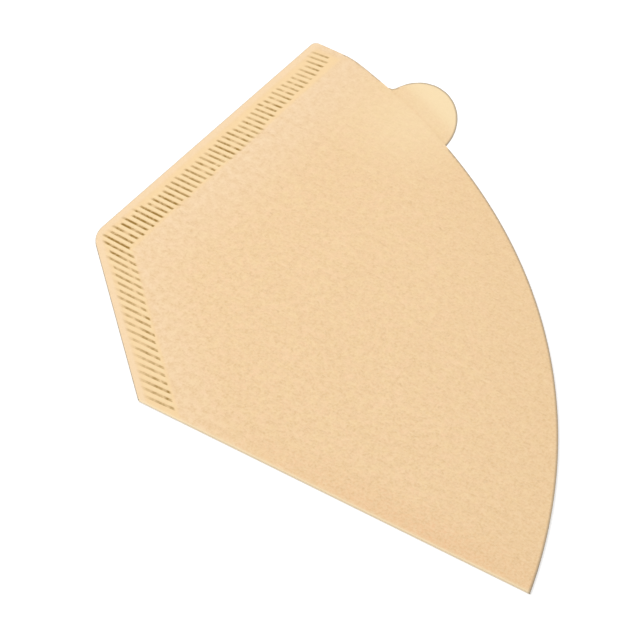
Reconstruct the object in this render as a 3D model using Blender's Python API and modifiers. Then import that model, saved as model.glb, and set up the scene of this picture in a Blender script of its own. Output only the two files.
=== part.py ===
"""Cone coffee filter: one sheet of paper, folded flat, with two crimped seams and a pull tab.

The filter is drawn in its own plan first. There the fold edge lies along +X from the
fold corner at the origin, and the paper is on its +Y side. At the end an empty turns
and moves the plan, so that the cone's axis is +X, the mouth faces +X, the side seam is
on the +Y side, and the origin is under the middle of the filter.

The sheet is made as the real one is: bent round at the fold, fused along the two
seams, cut to its outline, and crimped.
"""

import math

import bmesh
import bpy
from mathutils import Matrix, Vector

# Plan sizes, in metres and radians, from sharp corner to sharp corner.
FOLD_LENGTH = 0.1142  # the fold edge, from the bottom seam to the mouth
BOTTOM_LENGTH = 0.0602  # the bottom seam, from the fold corner to the side seam
SIDE_LENGTH = 0.1035  # the side seam, from the bottom seam to the mouth
BOTTOM_ANGLE = math.radians(134.0)  # inside the corner between fold and bottom seam
CONE_ANGLE = math.radians(83.7)  # between the fold edge and the side seam
MOUTH_RADIUS = 0.188  # the curve of the mouth edge
MOUTH_TRIM = 0.0028  # the mouth's straight end lies this far below the sharp corner
MOUTH_EASE_RADIUS = 0.025  # the curve from the mouth's arc into its straight end
SEAM_CORNER_RADIUS = 0.0085  # the round corner between the two seams
MOUTH_CORNER_RADIUS = 0.0018  # the small round corner between side seam and mouth

# Pull tab: an oval lobe on the back ply.
TAB_HALF_WIDTH = 0.0117
TAB_HALF_LENGTH = 0.01625
TAB_LEAN = math.radians(105.0)  # the long axis of the oval, from the fold edge
TAB_FROM_CORNER = 0.0426  # from the mouth's sharp corner to the oval's centre, along the mouth
TAB_INSET = 0.0015  # the oval's centre lies this far inside the mouth edge
TAB_NOTCH_RADIUS = 0.0025  # the eased notch on the tab's side-seam side
TAB_OVERLAP = 0.0003  # the notch's end runs this far into the mouth edge

# Section.
PLY = 0.00020  # one thickness of paper
FOLD_GAP = 0.00040  # between the plies, all round the pocket
CROWN = 0.0006  # how far the front ply stands up in the middle of the mouth
CROWN_RISE = 0.030  # the lift comes in over this distance from the bottom seam

# Crimped seams.
SEAM_MARGIN = 0.0028  # plain paper outside the bars
BOTTOM_SEAM_WIDTH = 0.0086  # from the bottom edge to the bars' inner ends
SIDE_SEAM_WIDTH_LOW = 0.0106  # from the side edge to the bars' inner ends, at the bottom
SIDE_SEAM_WIDTH_HIGH = 0.0092  # the same, at the mouth
CRIMP_PITCH = 0.00211  # from bar to bar, square to the fold edge
CRIMP_START = 0.0024  # the first bar's distance from the fold edge
CRIMP_END = 0.0066  # the last bar lies this far below the mouth's sharp corner
BAR_WIDTH = 0.00085
BAR_LEAN_FOLD = math.radians(3.0)  # the bars' lean off the fold edge's direction, at the fold
BAR_LEAN_CORNER = math.radians(-3.0)  # where the seams meet
BAR_LEAN_MOUTH = math.radians(6.0)  # at the mouth

# Fineness of the shapes.
ARC_STEP = math.radians(1.5)  # along the mouth edge
EASE_STEP = math.radians(3.0)  # along the curve into its straight end
ROUND_STEP = math.radians(10.0)  # along corners and tab
SHEET_COLUMNS = 26
FRONT_ROWS = 24
BEND_ROWS = 8

PAPER_COLOUR = (0.913, 0.665, 0.402, 1.0)
PAPER_ROUGHNESS = 0.9

THICKNESS = 2 * PLY + FOLD_GAP  # the folded sheet at its edges
REACH = 0.02  # how far cutters and blanks run past the outline
GROOVE_DEPTH = (THICKNESS - PLY) / 2 + PLY / 4
MARGIN_STEP = FOLD_GAP / 2  # the plain margin is pressed in by this much on each face


def along(angle):
    """Unit vector in the plan."""
    return Vector((math.cos(angle), math.sin(angle)))


def square_to(angle):
    """Unit vector to the right of a direction, which is inwards from both seams."""
    return Vector((math.sin(angle), -math.cos(angle)))


FOLD_CORNER = Vector((0.0, 0.0))
FOLD_END = Vector((FOLD_LENGTH, 0.0))
SEAM_CORNER = FOLD_CORNER + BOTTOM_LENGTH * along(BOTTOM_ANGLE)
MOUTH_CORNER = SEAM_CORNER + SIDE_LENGTH * along(CONE_ANGLE)
MOUTH_END_Y = MOUTH_CORNER.y - MOUTH_TRIM


def mouth_centre():
    """Centre of the arc through the fold's end and the mouth corner."""
    chord = MOUTH_CORNER - FOLD_END
    half = chord.length / 2
    rise = math.sqrt(MOUTH_RADIUS**2 - half**2)
    return (FOLD_END + MOUTH_CORNER) / 2 + rise * Vector((-chord.y, chord.x)) / chord.length


MOUTH_CENTRE = mouth_centre()


def angle_of(vector):
    return math.atan2(vector.y, vector.x)


def arc(centre, radius, start, end, step):
    """Points along an arc, both ends included."""
    count = max(2, math.ceil(abs(end - start) / step))
    angles = [start + (end - start) * i / count for i in range(count + 1)]
    return [centre + radius * along(angle) for angle in angles]


def line_x(point, direction, y):
    """Where a line of the plan crosses a height y."""
    return point.x + (y - point.y) * direction.x / direction.y


def root(function, low, high):
    """Where a function changes sign between two values."""
    sign = function(low) > 0
    for _ in range(60):
        middle = (low + high) / 2
        if (function(middle) > 0) == sign:
            low = middle
        else:
            high = middle
    return (low + high) / 2


def seam_corner_round():
    """The round between the bottom seam and the side seam, walked from side to bottom."""
    turn = (BOTTOM_ANGLE - CONE_ANGLE) / 2
    centre = SEAM_CORNER - along((BOTTOM_ANGLE + CONE_ANGLE) / 2 + math.pi / 2) * (
        SEAM_CORNER_RADIUS / math.cos(turn)
    )
    start = angle_of(-square_to(CONE_ANGLE))
    end = start + 2 * turn
    return arc(centre, SEAM_CORNER_RADIUS, start, end, ROUND_STEP)


def mouth_ease():
    """The curve from the mouth's arc into its straight end, and the mouth angle it starts at."""
    reach = MOUTH_RADIUS - MOUTH_EASE_RADIUS
    y = MOUTH_END_Y - MOUTH_EASE_RADIUS
    x = MOUTH_CENTRE.x + math.sqrt(reach**2 - (y - MOUTH_CENTRE.y) ** 2)
    centre = Vector((x, y))
    start = angle_of(centre - MOUTH_CENTRE)
    return arc(centre, MOUTH_EASE_RADIUS, start, math.pi / 2, EASE_STEP), start


def mouth_corner_round():
    """The small round between the mouth's straight end and the side seam."""
    side = SEAM_CORNER + MOUTH_CORNER_RADIUS * square_to(CONE_ANGLE)
    y = MOUTH_END_Y - MOUTH_CORNER_RADIUS
    centre = Vector((line_x(side, along(CONE_ANGLE), y), y))
    end = angle_of(-square_to(CONE_ANGLE))
    return arc(centre, MOUTH_CORNER_RADIUS, math.pi / 2, end, ROUND_STEP)


def die_outline():
    """The whole outline without the tab, run out past the fold edge at both ends."""
    past = THICKNESS
    bottom_run_out = FOLD_CORNER - along(BOTTOM_ANGLE) * past / math.sin(BOTTOM_ANGLE)
    start = angle_of(FOLD_END - MOUTH_CENTRE)
    run_out = start - past / MOUTH_RADIUS
    ease, mouth_end = mouth_ease()
    mouth = arc(MOUTH_CENTRE, MOUTH_RADIUS, run_out, mouth_end, ARC_STEP)
    return [bottom_run_out] + mouth[:-1] + ease + mouth_corner_round() + seam_corner_round()


def tab_centre():
    angle = angle_of(MOUTH_CORNER - MOUTH_CENTRE) - TAB_FROM_CORNER / MOUTH_RADIUS
    return MOUTH_CENTRE + (MOUTH_RADIUS - TAB_INSET) * along(angle)


def tab_point(turn):
    """A point of the oval, by its angle round the oval from the long axis."""
    long_axis = along(TAB_LEAN) * TAB_HALF_LENGTH * math.cos(turn)
    short_axis = along(TAB_LEAN + math.pi / 2) * TAB_HALF_WIDTH * math.sin(turn)
    return tab_centre() + long_axis + short_axis


def tab_notch():
    """Centre of the notch's arc, outside both oval and mouth, and the oval's turn there."""

    def beyond_mouth(turn):
        ahead = tab_point(turn + 0.001) - tab_point(turn - 0.001)
        outward = Vector((ahead.y, -ahead.x)).normalized()
        centre = tab_point(turn) + outward * TAB_NOTCH_RADIUS
        return (centre - MOUTH_CENTRE).length - MOUTH_RADIUS - TAB_NOTCH_RADIUS

    turn = root(beyond_mouth, 0.0, math.pi)
    ahead = tab_point(turn + 0.001) - tab_point(turn - 0.001)
    outward = Vector((ahead.y, -ahead.x)).normalized()
    return tab_point(turn) + outward * TAB_NOTCH_RADIUS, turn


def tab_outline():
    """The oval with its eased notch, closed well inside the mouth edge."""
    notch, last_turn = tab_notch()
    first_turn = last_turn - 2 * math.pi + math.radians(60)
    count = math.ceil((last_turn - first_turn) / ROUND_STEP)
    lobe = [tab_point(first_turn + (last_turn - first_turn) * i / count) for i in range(count + 1)]
    start = angle_of(lobe[-1] - notch)
    end = angle_of(MOUTH_CENTRE - notch)
    if end > start:
        end -= 2 * math.pi
    ease = arc(notch, TAB_NOTCH_RADIUS, start, end, ROUND_STEP)
    inside_mouth = notch + (TAB_NOTCH_RADIUS + TAB_OVERLAP) * along(end)
    return lobe + ease[1:-1] + [inside_mouth]


SIDE_INNER_LOW = SEAM_CORNER + SIDE_SEAM_WIDTH_LOW * square_to(CONE_ANGLE)
SIDE_INNER_HIGH = MOUTH_CORNER + SIDE_SEAM_WIDTH_HIGH * square_to(CONE_ANGLE)
BOTTOM_INNER = FOLD_CORNER + BOTTOM_SEAM_WIDTH * square_to(BOTTOM_ANGLE)


def bars_outer_x(y):
    side = SEAM_CORNER + SEAM_MARGIN * square_to(CONE_ANGLE)
    bottom = FOLD_CORNER + SEAM_MARGIN * square_to(BOTTOM_ANGLE)
    return max(line_x(side, along(CONE_ANGLE), y), line_x(bottom, along(BOTTOM_ANGLE), y))


def bars_inner_x(y):
    side = line_x(SIDE_INNER_LOW, SIDE_INNER_HIGH - SIDE_INNER_LOW, y)
    return max(side, line_x(BOTTOM_INNER, along(BOTTOM_ANGLE), y))


def corner_y(edge_x, low, high):
    """The height at which an edge that follows both seams turns its corner."""
    def slope_sign(y):
        return edge_x(y + 1e-5) - edge_x(y)

    return root(slope_sign, low, high)


def bar_lean(y):
    if y < SEAM_CORNER.y:
        share = y / SEAM_CORNER.y
        return BAR_LEAN_FOLD + (BAR_LEAN_CORNER - BAR_LEAN_FOLD) * share
    share = (y - SEAM_CORNER.y) / (MOUTH_CORNER.y - SEAM_CORNER.y)
    return BAR_LEAN_CORNER + (BAR_LEAN_MOUTH - BAR_LEAN_CORNER) * share


def smooth(value):
    value = min(max(value, 0.0), 1.0)
    return value * value * (3 - 2 * value)


def mouth_reach(apex_x):
    """From the cone's apex to the middle of the mouth edge."""
    middle = (angle_of(FOLD_END - MOUTH_CENTRE) + angle_of(MOUTH_CORNER - MOUTH_CENTRE)) / 2
    return (MOUTH_CENTRE + MOUTH_RADIUS * along(middle) - Vector((apex_x, 0.0))).length


def crown(x, y):
    """How far the front ply is lifted: none at fold and seams, most at the mouth."""
    apex_x = line_x(SIDE_INNER_LOW, SIDE_INNER_HIGH - SIDE_INNER_LOW, 0.0)
    reach = math.hypot(x - apex_x, y)
    turn = math.atan2(y, x - apex_x)
    opening = angle_of(SIDE_INNER_HIGH - SIDE_INNER_LOW)
    if not 0.0 < turn < opening:
        return 0.0
    across = math.sin(math.pi * turn / opening) ** 2
    from_bottom = (Vector((x, y)) - BOTTOM_INNER).dot(square_to(BOTTOM_ANGLE))
    return CROWN * across * (reach / mouth_reach(apex_x)) * smooth(from_bottom / CROWN_RISE)


def new_material():
    material = bpy.data.materials.new("filter_paper")
    material.use_nodes = True
    shader = material.node_tree.nodes["Principled BSDF"]
    shader.inputs["Base Color"].default_value = PAPER_COLOUR
    shader.inputs["Roughness"].default_value = PAPER_ROUGHNESS
    return material


def mesh_object(name, bm, collection, parent):
    mesh = bpy.data.meshes.new(name)
    bm.to_mesh(mesh)
    bm.free()
    shape = bpy.data.objects.new(name, mesh)
    collection.objects.link(shape)
    shape.parent = parent
    return shape


def prism(name, outline, low, high, collection, parent):
    """A flat outline, as a filled 2D curve, thickened from one height to another."""
    curve = bpy.data.curves.new(name, "CURVE")
    curve.dimensions = "2D"
    curve.fill_mode = "BOTH"
    curve.extrude = (high - low) / 2
    spline = curve.splines.new("POLY")
    spline.points.add(len(outline) - 1)
    spline.use_cyclic_u = True
    for point, place in zip(spline.points, outline):
        point.co = (place.x, place.y, 0.0, 1.0)
    flat = bpy.data.objects.new(name, curve)
    collection.objects.link(flat)
    bpy.context.view_layer.update()
    mesh = bpy.data.meshes.new_from_object(flat.evaluated_get(bpy.context.evaluated_depsgraph_get()))
    bpy.data.objects.remove(flat)
    bm = bmesh.new()
    bm.from_mesh(mesh)
    bpy.data.meshes.remove(mesh)
    bmesh.ops.remove_doubles(bm, verts=bm.verts, dist=1e-6)
    bmesh.ops.translate(bm, verts=bm.verts, vec=(0.0, 0.0, (low + high) / 2))
    bmesh.ops.recalc_face_normals(bm, faces=bm.faces)
    return mesh_object(name, bm, collection, parent)


def sheet_section(width):
    """Middle of the paper from the back ply's far edge, round the bend, to the front ply's."""
    bend_radius = (THICKNESS - PLY) / 2
    centre = THICKNESS / 2
    section = [(width, PLY / 2), (width / 2, PLY / 2)]
    for i in range(BEND_ROWS + 1):
        turn = math.pi * i / BEND_ROWS
        section.append((centre - bend_radius * math.sin(turn), centre - bend_radius * math.cos(turn)))
    for i in range(1, FRONT_ROWS + 1):
        section.append((centre + (width - centre) * i / FRONT_ROWS, THICKNESS - PLY / 2))
    return section


def folded_sheet(collection, parent):
    """A plain grid, bent round at the fold and given the paper's thickness."""
    left = SEAM_CORNER.x - REACH
    right = FOLD_LENGTH + REACH
    section = sheet_section(MOUTH_CORNER.y + REACH)
    rows = len(section) - 1
    bm = bmesh.new()
    bmesh.ops.create_grid(bm, x_segments=SHEET_COLUMNS, y_segments=rows, size=1.0)
    for vert in bm.verts:
        x = left + (right - left) * (vert.co.x + 1) / 2
        y, z = section[round((vert.co.y + 1) / 2 * rows)]
        if z > THICKNESS / 2:
            z += crown(x, y)
        vert.co = (x, y, z)
    sheet = mesh_object("filter_paper", bm, collection, parent)
    solidify = sheet.modifiers.new("paper thickness", "SOLIDIFY")
    solidify.thickness = PLY
    solidify.offset = 0.0
    solidify.use_even_offset = True
    return sheet


def boolean(target, other, operation):
    modifier = target.modifiers.new(other.name, "BOOLEAN")
    modifier.operation = operation
    modifier.solver = "EXACT"
    modifier.object = other


def seam_strip(collection, parent):
    """Joins the two plies along both seams, inside their thickness."""
    low_y = THICKNESS / 4
    high_y = MOUTH_CORNER.y + REACH
    turn_y = corner_y(bars_inner_x, low_y, MOUTH_CORNER.y)
    outline = [
        Vector((bars_inner_x(low_y), low_y)),
        Vector((bars_inner_x(turn_y), turn_y)),
        Vector((bars_inner_x(high_y), high_y)),
        Vector((SEAM_CORNER.x - REACH / 2, high_y)),
        Vector((SEAM_CORNER.x - REACH / 2, low_y)),
    ]
    return prism("seam_strip", outline, PLY / 4, THICKNESS - PLY / 4, collection, parent)


def margin_cutter(name, low, high, collection, parent):
    """Presses the plain margin outside the bars in from one face."""
    low_y = -REACH
    high_y = MOUTH_CORNER.y + REACH
    turn_y = corner_y(bars_outer_x, 0.0, MOUTH_CORNER.y)
    outline = [
        Vector((bars_outer_x(low_y), low_y)),
        Vector((bars_outer_x(turn_y), turn_y)),
        Vector((bars_outer_x(high_y), high_y)),
        Vector((SEAM_CORNER.x - REACH, high_y)),
        Vector((SEAM_CORNER.x - REACH, low_y)),
    ]
    return prism(name, outline, low, high, collection, parent)


def groove_cutter(collection, parent):
    """Bars pressed in from the front, and from the back half a pitch on."""
    bm = bmesh.new()
    last = MOUTH_CORNER.y - CRIMP_END
    count = int((last - CRIMP_START) / CRIMP_PITCH) + 1
    for i in range(2 * count - 1):
        y = CRIMP_START + i * CRIMP_PITCH / 2
        from_front = i % 2 == 0
        z = THICKNESS if from_front else 0.0
        start, end = bars_outer_x(y), bars_inner_x(y)
        place = Matrix.Translation(((start + end) / 2, y, z))
        lean = Matrix.Rotation(bar_lean(y), 4, "Z")
        size = Matrix.Diagonal((end - start, BAR_WIDTH, 2 * GROOVE_DEPTH, 1.0))
        bmesh.ops.create_cube(bm, size=1.0, matrix=place @ lean @ size)
    return mesh_object("crimp_grooves", bm, collection, parent)


def filter_place(outline):
    """Turn and shift that put the cone's axis on +X and the filter's middle on the origin."""
    turn = Matrix.Rotation(-CONE_ANGLE / 2, 2)
    turned = [turn @ point for point in outline]
    middle_x = (min(p.x for p in turned) + max(p.x for p in turned)) / 2
    middle_y = (min(p.y for p in turned) + max(p.y for p in turned)) / 2
    return Vector((-middle_x, -middle_y, 0.0))


def main():
    for shape in list(bpy.data.objects):
        bpy.data.objects.remove(shape, do_unlink=True)
    parts = bpy.data.collections.new("cone_coffee_filter")
    cutters = bpy.data.collections.new("cutters")
    bpy.context.scene.collection.children.link(parts)
    bpy.context.scene.collection.children.link(cutters)

    frame = bpy.data.objects.new("filter_frame", None)
    parts.objects.link(frame)
    frame.rotation_euler = (0.0, 0.0, -CONE_ANGLE / 2)
    on_the_edge = [point for point in die_outline() if point.y > 0] + [FOLD_CORNER, FOLD_END]
    frame.location = filter_place(on_the_edge + tab_outline())

    high = THICKNESS + CROWN + REACH
    die = prism("die", die_outline(), -REACH, high, cutters, frame)
    tab = prism("tab_die", tab_outline(), -REACH, PLY + FOLD_GAP / 2, cutters, frame)
    boolean(die, tab, "UNION")

    sheet = folded_sheet(parts, frame)
    sheet.data.materials.append(new_material())
    boolean(sheet, seam_strip(cutters, frame), "UNION")
    boolean(sheet, die, "INTERSECT")
    boolean(sheet, groove_cutter(cutters, frame), "DIFFERENCE")
    front_margin = margin_cutter("front_margin", THICKNESS - MARGIN_STEP, high, cutters, frame)
    back_margin = margin_cutter("back_margin", -REACH, MARGIN_STEP, cutters, frame)
    boolean(sheet, front_margin, "DIFFERENCE")
    boolean(sheet, back_margin, "DIFFERENCE")

    for cutter in cutters.objects:
        cutter.hide_render = True
        cutter.display_type = "WIRE"


main()
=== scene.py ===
# %% [markdown]
# # A cone coffee filter, folded flat
#
# The real thing is one sheet of unbleached filter paper. A machine folds it once,
# crimps the two plies together along the bottom and along one side, and cuts the
# outline with a round tab on the back ply. This lesson cuts the blank first, because a
# sheet is easy to draw and to measure while it is flat. Then it folds and crimps the
# sheet, lets the pocket stand a little open, gives the paper its thickness, and works
# on its colour and grain.
#
# The size comes from the frame, which is the model of the same filter. It is loaded
# first, and its box is kept, because nothing made here may be bigger.

# %% Load the frame
import math
import random

import bpy
from mathutils import Matrix, Vector
from mathutils.kdtree import KDTree


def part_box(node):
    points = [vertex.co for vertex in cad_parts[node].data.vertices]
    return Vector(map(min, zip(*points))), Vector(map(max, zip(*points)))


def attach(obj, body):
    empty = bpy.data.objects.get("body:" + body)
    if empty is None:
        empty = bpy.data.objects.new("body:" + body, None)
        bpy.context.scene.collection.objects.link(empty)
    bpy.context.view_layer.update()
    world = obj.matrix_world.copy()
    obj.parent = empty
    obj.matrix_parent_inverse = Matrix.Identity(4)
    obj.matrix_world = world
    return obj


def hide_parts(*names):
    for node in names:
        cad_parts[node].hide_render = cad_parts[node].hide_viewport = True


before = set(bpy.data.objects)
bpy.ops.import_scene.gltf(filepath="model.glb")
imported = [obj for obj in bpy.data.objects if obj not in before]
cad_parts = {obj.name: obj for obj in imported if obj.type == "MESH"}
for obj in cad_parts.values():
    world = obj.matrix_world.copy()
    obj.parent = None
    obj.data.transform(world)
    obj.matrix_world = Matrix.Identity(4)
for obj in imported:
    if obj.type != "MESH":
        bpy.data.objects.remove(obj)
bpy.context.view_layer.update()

# %% [markdown]
# ## The plan
#
# A filter is easiest to draw in its own plan, with the fold edge along +X and the fold
# corner at the origin. The bottom seam leaves that corner at 134 degrees, the side seam
# goes up from its end, and a wide arc joins the side seam to the end of the fold. By
# the side seam the mouth edge is cut straight, so the corner there is nearly square.

# %% Sizes of the plan
MM = 0.001
FOLD_LENGTH = 114.2 * MM
BOTTOM_LENGTH = 60.2 * MM
SIDE_LENGTH = 103.5 * MM
BOTTOM_ANGLE = math.radians(134.0)
CONE_ANGLE = math.radians(83.7)
MOUTH_RADIUS = 188 * MM
MOUTH_TRIM = 2.8 * MM
MOUTH_EASE_RADIUS = 25 * MM
SEAM_CORNER_RADIUS = 8.5 * MM
MOUTH_CORNER_RADIUS = 1.8 * MM


def along(angle):
    """Unit vector in the plan."""
    return Vector((math.cos(angle), math.sin(angle)))


def angle_of(vector):
    return math.atan2(vector.y, vector.x)


def inward(angle):
    """Unit vector square to a seam, pointing into the filter."""
    return Vector((math.sin(angle), -math.cos(angle)))


FOLD_CORNER = Vector((0.0, 0.0))
FOLD_END = Vector((FOLD_LENGTH, 0.0))
SEAM_CORNER = BOTTOM_LENGTH * along(BOTTOM_ANGLE)
MOUTH_CORNER = SEAM_CORNER + SIDE_LENGTH * along(CONE_ANGLE)
MOUTH_END_Y = MOUTH_CORNER.y - MOUTH_TRIM

chord = MOUTH_CORNER - FOLD_END
rise = math.sqrt(MOUTH_RADIUS**2 - (chord.length / 2) ** 2)
MOUTH_CENTRE = (FOLD_END + MOUTH_CORNER) / 2 + rise * Vector((-chord.y, chord.x)) / chord.length
print("mouth centre in mm:", [round(c / MM, 2) for c in MOUTH_CENTRE])

# %% [markdown]
# ## The outline, row by row
#
# The blank will be a grid whose rows run parallel to the fold. For each row only two
# numbers are needed, where the outline starts and where it ends, so the outline is
# written as two functions of the height above the fold. The round corners are circles
# that touch the straight seams.

# %% Left and right end of a row
HALVINGS = 50


def line_x(point, direction, y):
    """Where a line of the plan crosses a height y."""
    return point.x + (y - point.y) * direction.x / direction.y


def root(function, low, high):
    """Where a function changes sign between two values."""
    sign = function(low) > 0
    for _ in range(HALVINGS):
        middle = (low + high) / 2
        if (function(middle) > 0) == sign:
            low = middle
        else:
            high = middle
    return (low + high) / 2


half_turn = (BOTTOM_ANGLE - CONE_ANGLE) / 2
seam_round = SEAM_CORNER + inward((BOTTOM_ANGLE + CONE_ANGLE) / 2) * (
    SEAM_CORNER_RADIUS / math.cos(half_turn)
)
tip_y = MOUTH_END_Y - MOUTH_CORNER_RADIUS
tip_side = SEAM_CORNER + MOUTH_CORNER_RADIUS * inward(CONE_ANGLE)
tip_round = Vector((line_x(tip_side, along(CONE_ANGLE), tip_y), tip_y))

ease_reach = MOUTH_RADIUS - MOUTH_EASE_RADIUS
ease_y = MOUTH_END_Y - MOUTH_EASE_RADIUS
ease_x = MOUTH_CENTRE.x + math.sqrt(ease_reach**2 - (ease_y - MOUTH_CENTRE.y) ** 2)
ease_round = Vector((ease_x, ease_y))
ease_start = angle_of(ease_round - MOUTH_CENTRE)
EASE_START_Y = ease_round.y + MOUTH_EASE_RADIUS * math.sin(ease_start)


def circle_x(centre, radius, y, side):
    """The x of a circle at height y, on its left (-1) or right (+1) side."""
    return centre.x + side * math.sqrt(max(radius**2 - (y - centre.y) ** 2, 0.0))


def left_x(y):
    if y > tip_round.y + MOUTH_CORNER_RADIUS * math.cos(CONE_ANGLE):
        return circle_x(tip_round, MOUTH_CORNER_RADIUS, y, -1)
    if y > seam_round.y + SEAM_CORNER_RADIUS * math.cos(CONE_ANGLE):
        return line_x(SEAM_CORNER, along(CONE_ANGLE), y)
    if y > seam_round.y + SEAM_CORNER_RADIUS * math.cos(BOTTOM_ANGLE):
        return circle_x(seam_round, SEAM_CORNER_RADIUS, y, -1)
    return line_x(FOLD_CORNER, along(BOTTOM_ANGLE), y)


def right_x(y):
    if y > EASE_START_Y:
        return circle_x(ease_round, MOUTH_EASE_RADIUS, y, 1)
    return circle_x(MOUTH_CENTRE, MOUTH_RADIUS, y, 1)


for y in (0.0, 40 * MM, 100 * MM, MOUTH_END_Y):
    print(f"row at {y / MM:6.1f} mm: from {left_x(y) / MM:7.2f} to {right_x(y) / MM:7.2f} mm")

# %% [markdown]
# ## The crimped bands
#
# Both seams are one band of short bars, all nearly parallel to the fold, with a plain
# margin outside it. Straight lines beside the seams say where the bars start and end,
# and the band is a little wider at the bottom of the side seam than at the mouth. The
# bars lean a few degrees, one way by the fold and by the mouth, and the other way at
# the corner between the seams, as the crimping wheels left them.

# %% Where the bars start and end
SEAM_MARGIN = 2.8 * MM
BOTTOM_SEAM_WIDTH = 8.6 * MM
SIDE_SEAM_WIDTH_LOW = 10.6 * MM
SIDE_SEAM_WIDTH_HIGH = 9.2 * MM
CRIMP_PITCH = 2.11 * MM
CRIMP_START = 2.4 * MM
CRIMP_END = 6.6 * MM
BAR_LEAN_FOLD = math.radians(3.0)
BAR_LEAN_CORNER = math.radians(-3.0)
BAR_LEAN_MOUTH = math.radians(6.0)

SIDE_INNER_LOW = SEAM_CORNER + SIDE_SEAM_WIDTH_LOW * inward(CONE_ANGLE)
SIDE_INNER_HIGH = MOUTH_CORNER + SIDE_SEAM_WIDTH_HIGH * inward(CONE_ANGLE)
BOTTOM_INNER = BOTTOM_SEAM_WIDTH * inward(BOTTOM_ANGLE)
LAST_BAR_Y = MOUTH_CORNER.y - CRIMP_END
BAR_COUNT = int((LAST_BAR_Y - CRIMP_START) / CRIMP_PITCH) + 1


def bars_outer_x(y):
    side = SEAM_CORNER + SEAM_MARGIN * inward(CONE_ANGLE)
    bottom = SEAM_MARGIN * inward(BOTTOM_ANGLE)
    return max(line_x(side, along(CONE_ANGLE), y), line_x(bottom, along(BOTTOM_ANGLE), y))


def bars_inner_x(y):
    side = line_x(SIDE_INNER_LOW, SIDE_INNER_HIGH - SIDE_INNER_LOW, y)
    return max(side, line_x(BOTTOM_INNER, along(BOTTOM_ANGLE), y))


def smooth(value):
    """Eases from 0 to 1 and stays there."""
    value = min(max(value, 0.0), 1.0)
    return value * value * (3 - 2 * value)


def rising(value, start, length):
    """0 up to the start, and eased up to 1 over the length."""
    return smooth((value - start) / length)


def falling(value, start, length):
    """1 up to the start, and eased down to 0 over the length."""
    return 1 - rising(value, start, length)


def bar_slope(y):
    """The lean of the bars at height y, as a slope. It fades out beyond the first and last bar."""
    if y < SEAM_CORNER.y:
        share = y / SEAM_CORNER.y
        lean = BAR_LEAN_FOLD + (BAR_LEAN_CORNER - BAR_LEAN_FOLD) * share
    else:
        share = (y - SEAM_CORNER.y) / (MOUTH_CORNER.y - SEAM_CORNER.y)
        lean = BAR_LEAN_CORNER + (BAR_LEAN_MOUTH - BAR_LEAN_CORNER) * share
    fade = smooth(y / CRIMP_START) * smooth((MOUTH_END_Y - y) / (MOUTH_END_Y - LAST_BAR_Y))
    return math.tan(lean) * fade


print("bars in the band:", BAR_COUNT)

# %% [markdown]
# ## The rows and columns of the blank
#
# The grid's rows are put where the crimp needs them: four rows for a bar that is
# pressed in from the front, and four for the bar that is pressed in from the back half
# a pitch further on. That way every crease of the crimp has a row of its own, and the
# mesh stays light everywhere else.

# %% Heights of the rows on one ply
BAR_BOTTOM = 0.13
BAR_SHOULDER = 0.24
BAR_ROWS = (-BAR_SHOULDER, -BAR_BOTTOM, BAR_BOTTOM, BAR_SHOULDER)

BY_FOLD_MM = (0.5, 1.1)
BELOW_TIP_MM = (3.0, 2.45, 1.95, 1.55, 1.15, 0.8, 0.5, 0.27, 0.1, 0.02, 0.0)

heights = [height * MM for height in BY_FOLD_MM]
for step in range(2 * BAR_COUNT - 1):
    middle = CRIMP_START + step * CRIMP_PITCH / 2
    heights += [middle + part * CRIMP_PITCH for part in BAR_ROWS]
heights += [MOUTH_END_Y - below * MM for below in BELOW_TIP_MM]
assert heights == sorted(heights)
print("rows on one ply:", len(heights))

# %% Places of the columns along a row
MARGIN_STEPS = (0.0, 0.15, 0.55)
BAR_STEPS = (0.0, 0.05, 0.1, 0.16, 0.24, 0.32, 0.4, 0.48, 0.56, 0.64, 0.72, 0.8, 0.87, 0.93)
POCKET_EASE = 3.0 * MM
EASE_STEPS = (0.0, 0.15, 0.45)
PANEL_COLUMNS = 14
EDGE_WIDTH = 4.0 * MM
EDGE_STEPS = (0.0, 0.4, 0.7, 0.9, 1.0)
LEAN_EASE = 12 * MM
# On the short rows by the mouth corner each stretch gets at most this share of the room.
MARGIN_SHARE = 0.3
BAND_SHARE = 0.8
EASE_SHARE = 0.3
EDGE_SHARE = 0.3
ALL_STEPS = (MARGIN_STEPS, BAR_STEPS, EASE_STEPS, EDGE_STEPS)
COLUMNS = sum(len(steps) for steps in ALL_STEPS) + PANEL_COLUMNS - 1


def between(low, high, steps):
    return [low + (high - low) * step for step in steps]


def row_places(y):
    """The x of every column on the row at height y, and the middle of that row's bar."""
    middle = (bars_outer_x(y) + bars_inner_x(y)) / 2
    start = left_x(y + bar_slope(y) * (left_x(y) - middle))
    end = right_x(y)
    outer = min(bars_outer_x(y), start + MARGIN_SHARE * (end - start))
    inner = min(bars_inner_x(y), start + BAND_SHARE * (end - start))
    rest = end - inner
    panel = inner + min(POCKET_EASE, EASE_SHARE * rest)
    edge = end - min(EDGE_WIDTH, EDGE_SHARE * rest)
    panel_steps = [i / PANEL_COLUMNS for i in range(PANEL_COLUMNS)]
    places = between(start, outer, MARGIN_STEPS) + between(outer, inner, BAR_STEPS)
    places += between(inner, panel, EASE_STEPS) + between(panel, edge, panel_steps)
    return places + between(edge, end, EDGE_STEPS), middle


def leaning_y(x, y, middle):
    """A row tilts with its bar inside the band, and comes back to level in the panel."""
    inner = bars_inner_x(y)
    return y + bar_slope(y) * (min(x, inner) - middle) * falling(x, inner, LEAN_EASE)


print("columns:", COLUMNS, "first row from", round(row_places(0.0)[0][0] / MM, 2))

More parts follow.
